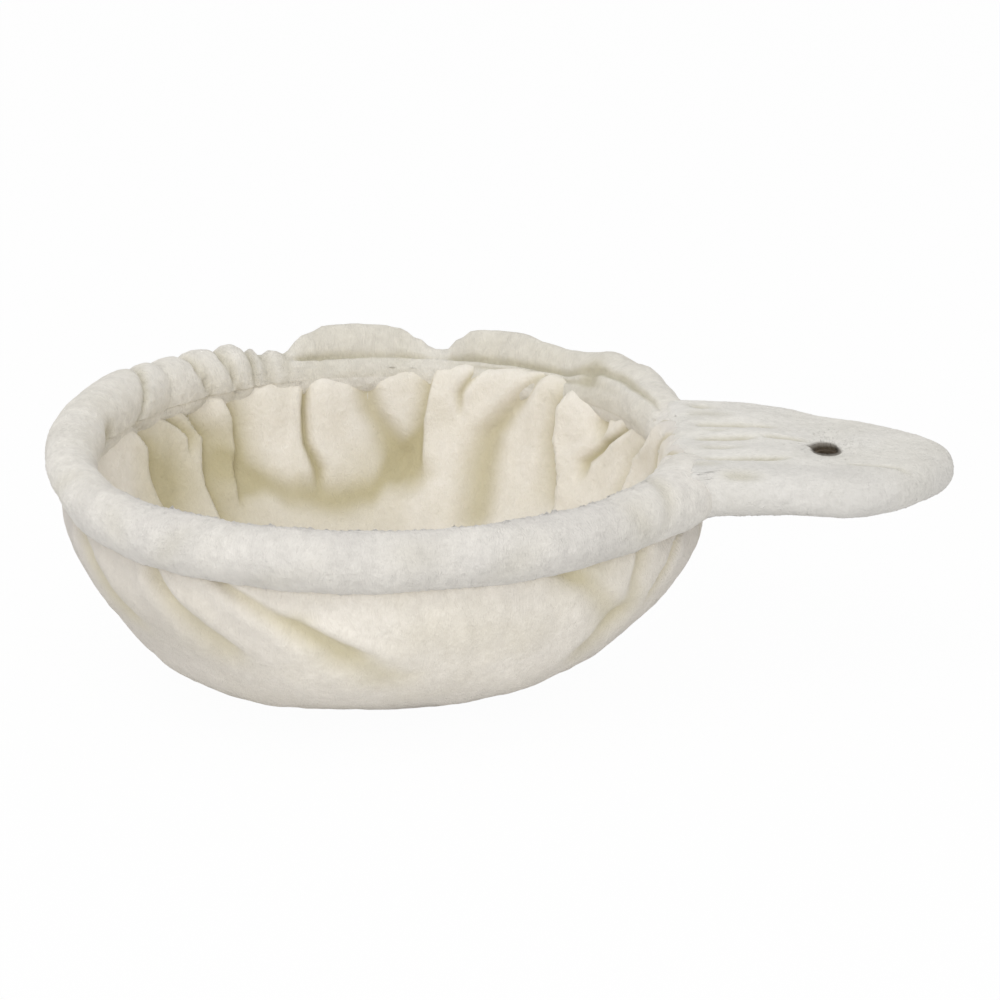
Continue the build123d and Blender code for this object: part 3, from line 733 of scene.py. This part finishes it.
# Puckers: each crease runs from the inner edge over the top to the outer side
puckers = [
    # angle at the inner edge, on top, at the outer side, depth, height of the swelling before it
    (181, 173, 170, 0.0, 0), (160.5, 153, 152, 4.8, 0), (149, 147, 145, 0.9, 2.4),
    (136.5, 139.5, 143, 4.8, 4.4), (129.5, 132, 134, 4.4, 4.6), (124.5, 125.5, 126, 3.8, 3.6),
    (121, 121.6, 122, 3.0, 1.6), (117.5, 116.5, 115, 2.2, 2.0), (110, 110, 110, 0.4, 1.0),
]
half_way = np.clip(np.abs(section), 0, 180)
waver = 0.9 * soft_noise(co, 40, 61) + 0.5 * soft_noise(co, 95, 62)
lines = [
    np.interp(half_way, [0, 90, 180], [outer, top, inner]) + waver
    for inner, top, outer, _, _ in puckers
]
drawn = np.zeros(len(co))
for line in lines:
    away = turn_between(full_round, line) * MM_PER_DEGREE
    drawn -= away * 0.45 * hump(away, 0, 5) / MM_PER_DEGREE
drawn *= ease(full_round, 104, 110) * (1 - ease(full_round, 178, 190))
co = spin(co, drawn)
angle, radius, depth = around_ring(co)
full_round = angle % 360
pucker, dark = np.zeros(len(co)), np.zeros(len(co))
for index, (_, _, _, deep, high) in enumerate(puckers):
    away = turn_between(full_round, lines[index]) * MM_PER_DEGREE
    cut = np.exp(-np.abs(away / 2.6) ** 1.4)
    pucker -= deep * cut
    dark += cut * min(1.0, deep / 4)
    if index:
        share = np.clip((lines[index - 1] - full_round) / (lines[index - 1] - lines[index]), 0, 1)
        pucker += high * (4 * share * (1 - share)) ** 0.7
over_top = hump(section % 360, 108, 88)

tube = 15.5 - 1.9 * np.sin(np.radians(angle))
tube += 1.2 * soft_noise(co, 20, 11) + 0.75 * soft_noise(co, 52, 12) + 0.5 * soft_noise(co, 120, 13)
tube += 0.4 * soft_noise(co, 240, 14)

lobe_angles = [18, 24, 30, 38, 46, 52, 57, 62, 68, 74, 78, 81, 83.5, 86, 89, 93, 97, 103, 108, 112, 117]
lobe_heights = [0, 5, 7, 12, 16, 12, 11.5, 14, 17, 17, 15.5, 9, 1.5, 2, 8, 15, 17.5, 18.5, 17.5, 12, 0]
lobe = rounded(lobe_angles, lobe_heights, angle)
lobe = np.where((angle > 18) & (angle < 117), lobe, 0)
bulk = rounded(
    [112, 117, 121, 125, 129, 134, 141, 150, 157, 163, 172, 180, 192, 206, 224],
    [0, 2.5, 3, 8, 11.5, 10, 9.5, 11.5, 14.5, 14.5, 12.5, 10, 5, 2, 0], full_round,
)
bulk = np.where((full_round > 112) & (full_round < 224), bulk, 0)
fold_line = hump(section + 2.5 * soft_noise(co, 60, 65), 119, 4.5) * np.clip(lobe / 8, 0, 1)
fold_line *= 1 - 0.5 * hump(angle, 96, 8)
second_line = hump(section, 139, 5.0) * hump(angle, 60, 16) * 0.8
pocket = 5.0 * hump(angle, 46.5, 2.4) * hump(section, 128, 16)
side_pocket = turn_hump(full_round, 175, 2.6) * turn_hump(section, 168, 26)
shoulder = 3.4 * hump(angle, 34, 7) * hump(section, 70, 50)
shoulder += 5.0 * hump(angle, 29, 15) * hump(section % 360, 145, 48)
tube -= 7.0 * turn_hump(angle, -164, 22) * turn_hump(section, -32, 52)
wide = 21 + 34 * (1 - ease(angle, 44, 56)) * ease(angle, 17, 22)
lobe_shape = hump(section, 88, wide)
# Dents and short folds in the roll: degrees, section, depth, half widths, drift along the section
dents = [
    (-27, 60, 2.4, 1.6, 70, 5), (-36, 20, 1.6, 2.2, 50, -3), (-62, -10, 1.0, 4, 40, 6),
    (-118, 10, 1.4, 2.4, 50, 4), (-131, 20, 1.2, 3, 40, -4), (-152, 30, 1.4, 3, 60, 5),
    (-100, -30, 1.0, 4, 30, 6), (-78, 30, 0.8, 5, 36, 0),
]
dented = np.zeros(len(co))
for at, middle, deep, half, tall, drift in dents:
    line = at + drift * turn_between(section, middle) / 90
    dented += deep * turn_hump(angle, line, half) * turn_hump(section, middle, tall)
out = tube + lobe * lobe_shape + bulk * hump(section, 96, 66) + pucker * over_top
into_arm = 12 * hump(angle, -16, 15) * turn_hump(section, -8, 70)
out += into_arm + shoulder - 3.6 * fold_line - 1.8 * second_line - pocket - 7.0 * side_pocket - dented
near_arm = 1 - ease(np.abs(angle), 18, 40)
out -= 4.4 * near_arm * turn_hump(section, -80, 50)
in_arm = np.where(angle < 0, 1 - ease(-angle, 3, 8), 1 - ease(angle, 8, 13))
out = out * (1 - in_arm) + 8.5 * in_arm
# Kept on the mesh from the roll's foot to its foot, so that its jump lies under the bag
across = np.radians((section + 90) % 360 - 90)
ring_out = np.column_stack((np.cos(np.radians(angle)), np.sin(np.radians(angle)), 0 * angle))
lean = np.where(lobe > 0, 0.26 * lobe * lobe_shape, 0)
beside = (out * np.cos(across) + lean) * MM
above = out * np.sin(across) * MM
co = ring_out * (RING_RADIUS + beside)[:, None]
co[:, 0] += RING.x
co[:, 2] = RING.z + above
set_points(rim, co)
# Painted shade in the puckers' creases, along the lobes' fold lines, and in the pockets and dents. The
# lobes and the thick left roll are made a little darker and yellower.
shade = dark * over_top * 0.9 + fold_line + 0.9 * second_line
shade = shade + pocket / 4 + side_pocket + dented / 5
shade += 0.3 * np.clip(lobe / 14, 0, 1) * ease(section, 20, 60) + 0.05 * (bulk > 0) * over_top


def rim_tufts(places, normals, values):
    """The long pile stands up along the front roll's inner edge and lies down elsewhere."""
    around, turned = values["angle"], np.degrees(values["across"])
    in_front = 1 - ease(np.abs(turn_between(around, -78)), 40, 74)
    edge = turn_hump(turned, 114, 25) * in_front
    clump = soft_noise(places, 150, 31)
    fine = soft_noise(places, 620, 32)
    height = 0.17 + 0.13 * clump + 0.18 * fine + edge * (0.3 + 0.45 * clump + 0.6 * fine)
    height = np.clip(height, 0.02, 1.6) * (1 - np.clip(values["crease"], 0, 1) * 0.5)
    height *= 1 - 0.6 * turn_hump(around, 66, 56) * turn_hump(turned, 60, 110)
    sway = [0.5 * soft_noise(places, 90, seed) for seed in (33, 34)]
    lean = np.column_stack((*sway, -0.55 + edge))
    return (normals + 0.55 * lean) * (height * MM)[:, None]


kept = raise_pile(
    rim, rim_tufts,
    {"crease": np.clip(shade, 0, 1), "angle": full_round, "across": across},
    stray=0.24,
)
store(rim, "crease", kept["crease"])
# Painted shade: dimmer on the front of the roll
dusk = 0.4 * (1 - ease(np.abs(turn_between(kept["angle"], -88)), 38, 74))
store(rim, "dusk", np.clip(dusk + 0.18 * soft_noise(points_of(rim), 30, 63), 0, 1))
store_lay(rim, np.radians(kept["angle"]) * RING_RADIUS, kept["across"] * 0.017)


# ---------------------------------------------------------------- arm

ROOT_RADIUS = 176.0
START_RADIUS = 0.05


def tongue_edge():
    """The arm's outline seen from above, as (x, y) in millimetres, from tip round to tip."""
    half, tip, middle, taper = 66.3, 34.3, 43.0, -20
    run = middle - taper
    side = (run**2 + half**2 - tip**2) / (2 * (half - tip))
    lean = math.asin(run / (side - tip))
    upper = []
    for step in range(30):
        a = (math.pi / 2 - lean) * step / 29
        upper.append((middle + tip * math.cos(a), tip * math.sin(a)))
    for step in range(1, 40):
        a = lean * (1 - step / 39)
        upper.append((taper + side * math.sin(a), half - side + side * math.cos(a)))
    corner = -HOLE_TO_RING + math.sqrt(ROOT_RADIUS**2 - half**2)
    for step in range(1, 30):
        upper.append((taper + (corner - taper) * step / 29, half))
    for step in range(1, 40):
        y = half * (1 - step / 39)
        upper.append((-HOLE_TO_RING + math.sqrt(ROOT_RADIUS**2 - y**2), y))
    upper = np.array(upper)
    lower = upper[-2:0:-1] * (1, -1)
    return np.vstack((upper, lower))


clear_selection()
bpy.ops.mesh.primitive_torus_add(
    location=(0, 0, 0), major_segments=360, minor_segments=112,
    major_radius=START_RADIUS, minor_radius=0.02,
)
arm = bpy.context.object
arm.name = "arm_plush"
co = points_of(arm)
around = np.degrees(np.arctan2(co[:, 1], co[:, 0])) % 360
section = np.degrees(np.arctan2(co[:, 2], np.hypot(co[:, 0], co[:, 1]) - START_RADIUS)) % 360

edge = tongue_edge()
far_side = ease(edge[:, 1], 20, 60)
edge[:, 1] += np.where(edge[:, 1] > 0, 15 * ease(-edge[:, 0], -10, 70), 0) * far_side
# The near corner of the root stays clear of the roll's top
from_ring = np.hypot(edge[:, 0] + HOLE_TO_RING, edge[:, 1])
least = ROOT_RADIUS + np.interp(
    -edge[:, 1], [6, 18, 28, 38, 50, 62, 70], [0, 5, 12, 16, 20, 24, 26]
)
pushed = np.where((edge[:, 1] < 0) & (from_ring < least), least / from_ring, 1)
edge[:, 0] = (edge[:, 0] + HOLE_TO_RING) * pushed - HOLE_TO_RING
edge[:, 1] *= pushed
edge[:, 1] -= 8 * hump(edge[:, 0], 30, 32) * ease(-edge[:, 1], 10, 40)
edge[:, 1] += 7 * hump(edge[:, 0], -30, 24) * ease(edge[:, 1], 20, 40)
edge[:, 0] -= 0.4 * ease(edge[:, 0], 50, 77)
edge_around = np.degrees(np.arctan2(edge[:, 1], edge[:, 0])) % 360
order = np.argsort(edge_around)
edge_around, edge_away = edge_around[order], np.hypot(edge[order, 0], edge[order, 1])
edge_around = np.concatenate((edge_around - 360, edge_around, edge_around + 360))
edge_away = np.tile(edge_away, 3)
reach = np.interp(around, edge_around, edge_away)
hole = 8.0 + 2.4 * turn_hump(around, 170, 16) + 11.5 * turn_hump(around, 276, 50)
hole += 2.8 * turn_hump(around, 100, 50) - 2.0 * turn_hump(around, 0, 60)
at_root = np.clip(turn_hump(around, 180, 26) + turn_hump(around, 222, 12), 0, 1)
roll = 15.5 - 6 * at_root
# Round the section in degrees: the upper edge, the top and the hole, and the same again below
EDGE_END, TOP_END, HALF_WAY = 70, 166, 180
turned = np.where(section < HALF_WAY, section, 2 * HALF_WAY - section)
sign = np.where(section < HALF_WAY, 1.0, -1.0)
edge_turn = np.clip(turned / EDGE_END, 0, 1) * (math.pi / 2)
top_share = np.clip((turned - EDGE_END) / (TOP_END - EDGE_END), 0, 1)
wall_share = np.clip((turned - TOP_END) / (HALF_WAY - TOP_END), 0, 1)
flat = hole + (reach - roll - hole) * (1 - top_share)
flat = flat + (POST_BORE_RADIUS - hole) * ease(wall_share, 0, 0.31)
away = np.where(turned < EDGE_END, reach - roll + roll * np.cos(edge_turn) ** 0.85, flat)
height = np.where(turned < EDGE_END, np.sin(edge_turn) ** 0.9, 1.0) * (1 - wall_share)
x = away * np.cos(np.radians(around))
y = away * np.sin(np.radians(around))

# Shirring: lengthwise grooves that start at the root
grooves = [
    # y, start x, end x, depth, half width, drift
    (62, -84, -68, 2.4, 3.4, -3), (46, -84, -58, 1.2, 5.0, -2), (27.5, -76, -32, 4.6, 2.3, 1),
    (1, -76, -44, 4.6, 2.2, 4), (8, -36, -12, 3.4, 2.0, 1), (-37, -74, -24, 3.8, 2.6, 6),
    (-18, -74, -50, 1.6, 3.2, 2), (-62, -60, -36, 1.8, 4.0, -1), (-54, -80, -60, 1.4, 4.0, 4),
    (14, -72, -58, 1.4, 2.6, 2),
]
shirr = np.zeros(len(x))
for at, start, end, deep, half, drift in grooves:
    line = at + drift * (x - start) / (end - start)
    groove = deep * hump(y, line, half) * ease(x, start - 6, start + 6)
    shirr += groove * (1 - ease(x, end - 12, end + 6))
on_top = (sign > 0) * ease(height, 0.55, 0.95)
seam_groove = 0.9 * hump(y, -40 - (x - 20) * 0.14, 1.8) * ease(x, 8, 20) * (1 - ease(x, 50, 62))
swell = 3.0 * ease(-x, 16, 60) * ease(y, 30, 64) + 2.6 * ease(-x, 58, 95) * ease(-y, 24, 56)
cords = hump(y, 43, 12) + hump(y, 14, 9) + hump(y, -17, 12) + hump(y, -50, 9)
ridge = 2.4 * cords * ease(-x, 14, 48) * (1 - 0.6 * ease(-x, 74, 92))
place = np.column_stack((x, y, ARM_HALF_THICKNESS * sign * height)) * MM
loose = 0.9 * soft_noise(place, 24, 21) + 0.45 * soft_noise(place, 62, 22)
loose += 0.3 * soft_noise(place, 130, 23) + 0.22 * soft_noise(place, 260, 24)
from_hole = np.hypot(x, y)
near_hole = hump(from_hole, 0, 26)
raise_by = (ridge + swell - shirr - seam_groove) * on_top + loose * (1 - near_hole) * height
raise_by -= (1.8 + 0.3 * ease(y, -4, 6)) * hump(from_hole - hole, 0, 8) * on_top
top_z = (ARM_HALF_THICKNESS + raise_by) * sign * height
base_z = -(ARM_HALF_THICKNESS + loose * (1 - near_hole)) * height
z = np.where(sign > 0, top_z, base_z)
side = (1 - height) * (loose * 1.4)
x += side * np.cos(np.radians(around))
y += side * np.sin(np.radians(around))
set_points(arm, np.column_stack((x, y, z)) * MM)


def arm_tufts(places, normals, values):
    """Shorter pile than the rim's, brushed towards the tip, and none at the hole."""
    clump = soft_noise(places, 130, 41)
    fine = soft_noise(places, 560, 42)
    height = np.clip(0.14 + 0.1 * clump + 0.13 * fine, 0.02, 0.6) * (1 - values["near_hole"])
    return (normals + (0.3, 0, -0.3)) * (height * MM)[:, None]


# Painted shade in the shirring grooves and the seam groove
shade = np.clip(shirr / 2.6 + seam_groove * 0.5, 0, 1) * on_top
# The hole's wall is marked for its painted dark shade
kept = raise_pile(arm, arm_tufts, {
    "crease": shade, "x": x, "y": y, "near_hole": hump(np.hypot(x, y) - 8, 0, 5),
    "bored": ease(wall_share, 0.0, 0.12),
})
store(arm, "crease", kept["crease"])
store(arm, "bored", kept["bored"])
# Painted shade: dimmer at the tip's near half and along the near side
tip_dusk = 0.3 * ease(kept["x"], 40, 76) * ease(-kept["y"], -20, 20) + 0.4 * ease(-kept["y"], 34, 60)
store(arm, "dusk", np.clip(tip_dusk + 0.14 * soft_noise(points_of(arm), 26, 64), 0, 1))
store_lay(arm, kept["y"] * MM, kept["x"] * MM)
keep_place_in_mesh(arm)


# ---------------------------------------------------------------- finishing the pieces

for piece, slot, finish, nodes in (
    (bag, "bowl_plush", plush_bag, ["bowl_outer"]),
    (lining, "lining_plush", plush_lining, ["bowl_lining"]),
    (rim, "rim_plush", plush_rim, ["rim_casing"]),
    (arm, "arm_plush", plush_arm, ["arm_cover_top", "arm_cover_base"]),
):
    clear_selection()
    piece.select_set(True)
    bpy.context.view_layer.objects.active = piece
    bpy.ops.object.mode_set(mode="EDIT")
    bpy.ops.mesh.select_all(action="SELECT")
    if piece in (rim, arm):
        bpy.ops.mesh.normals_make_consistent(inside=False)
    bpy.ops.object.mode_set(mode="OBJECT")
    bpy.ops.object.shade_smooth()
    piece.data.materials.clear()
    piece.data.materials.append(finish)
    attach(piece, "root")
    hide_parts(*nodes)

finishes = {
    "ring_rod": steel("rod steel", (0.62, 0.62, 0.63), 0.28, (900.0, 900.0, 60.0)),
    "rod_straps": steel("strap steel", (0.60, 0.60, 0.61), 0.34, (120.0, 1500.0, 120.0)),
    "strap_screws": steel("screw steel", (0.66, 0.64, 0.58), 0.3, (600.0, 600.0, 600.0)),
    "arm_board": wood("board wood"),
    "ring_foam": spongy("foam", (0.78, 0.78, 0.77), (0.60, 0.60, 0.59), 700.0, 0.0005),
    "gather_elastic": spongy("elastic", (0.86, 0.86, 0.84), (0.70, 0.70, 0.68), 1600.0, 0.0002),
    "base_pad": spongy("base wadding", (0.88, 0.88, 0.86), (0.76, 0.76, 0.74), 260.0, 0.0008),
}
wadding = spongy("arm wadding", (0.88, 0.88, 0.86), (0.76, 0.76, 0.74), 320.0, 0.0006)
cotton = twisted_thread("thread", (0.80, 0.77, 0.70), (0.58, 0.55, 0.48))
for node in ("arm_pad_top", "arm_pad_base"):
    finishes[node] = wadding
for node in ("arm_seam_thread", "rim_seam_thread", "lining_seam_thread"):
    finishes[node] = cotton
for node, finish in finishes.items():
    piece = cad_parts[node]
    piece = bpy.data.objects[piece] if isinstance(piece, str) else piece
    if piece.material_slots:
        for holder in piece.material_slots:
            holder.material = finish
    else:
        piece.data.materials.append(finish)


# ---------------------------------------------------------------- stage and light

def seen_as(f, seen, real):
    """One shader for the camera, glossy and clear rays, another for everything else."""
    path = f.node("LightPath")
    shown = Value(f, path.outputs["Is Camera Ray"]) + Value(f, path.outputs["Is Glossy Ray"])
    shown = (shown + Value(f, path.outputs["Is Transmission Ray"])).clamped()
    made = f.node("MixShader")
    f.feed(made.inputs[0], shown)
    f.tree.links.new(real.outputs[0], made.inputs[1])
    f.tree.links.new(seen.outputs[0], made.inputs[2])
    return made


clear_selection()
bpy.ops.mesh.primitive_plane_add(size=16, location=(RING.x, 0, FLOOR - 0.0002))
floor = bpy.context.object
floor.name = "floor"
f = Finish("floor paper")
real = f.node("BsdfDiffuse", None, Color=(0.82, 0.82, 0.82, 1))
white = f.node("Emission", None, Color=(1, 1, 1, 1), Strength=1.0)
soft = f.node("MixShader")
f.feed(soft.inputs[0], 0.97)
f.tree.links.new(real.outputs[0], soft.inputs[1])
f.tree.links.new(white.outputs[0], soft.inputs[2])
made = seen_as(f, soft, real)
out = f.node("OutputMaterial")
f.tree.links.new(made.outputs[0], out.inputs[0])
floor.data.materials.append(f.material)
floor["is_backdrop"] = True

world = bpy.data.worlds.new("studio")
bpy.context.scene.world = world
world.use_nodes = True
tree = world.node_tree
tree.nodes.clear()
path = tree.nodes.new("ShaderNodeLightPath")
shown = tree.nodes.new("ShaderNodeMath")
shown.operation = "MAXIMUM"
tree.links.new(path.outputs["Is Camera Ray"], shown.inputs[0])
tree.links.new(path.outputs["Is Glossy Ray"], shown.inputs[1])
clear_rays = tree.nodes.new("ShaderNodeMath")
clear_rays.operation = "MAXIMUM"
tree.links.new(shown.outputs[0], clear_rays.inputs[0])
tree.links.new(path.outputs["Is Transmission Ray"], clear_rays.inputs[1])
ambient = tree.nodes.new("ShaderNodeBackground")
ambient.inputs["Color"].default_value = (1.0, 1.0, 1.0, 1)
ambient.inputs["Strength"].default_value = 0.72
backdrop = tree.nodes.new("ShaderNodeBackground")
backdrop.inputs["Strength"].default_value = 1.0
mixed = tree.nodes.new("ShaderNodeMixShader")
tree.links.new(clear_rays.outputs[0], mixed.inputs[0])
tree.links.new(ambient.outputs[0], mixed.inputs[1])
tree.links.new(backdrop.outputs[0], mixed.inputs[2])
world_out = tree.nodes.new("ShaderNodeOutputWorld")
tree.links.new(mixed.outputs[0], world_out.inputs[0])


def soft_lamp(name, place, towards, size, power, colour=(1, 1, 1)):
    data = bpy.data.lights.new(name, "AREA")
    data.shape, data.size, data.energy, data.color = "DISK", size, power, colour
    lamp = bpy.data.objects.new(name, data)
    lamp.location = place
    lamp.rotation_euler = (Vector(towards) - Vector(place)).to_track_quat("-Z", "Y").to_euler()
    bpy.context.collection.objects.link(lamp)


middle = (-0.2, 0.0, -0.03)
soft_lamp("key", (-0.6, -1.2, 2.1), middle, 1.1, 12, (1.0, 0.995, 0.985))
soft_lamp("front", (-0.1, -2.2, 0.8), middle, 1.2, 10, (1.0, 0.995, 0.985))
soft_lamp("fill", (-1.6, -1.2, 0.8), middle, 1.4, 2, (0.97, 0.985, 1.0))

bpy.context.scene.view_settings.view_transform = "Standard"

low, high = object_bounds()
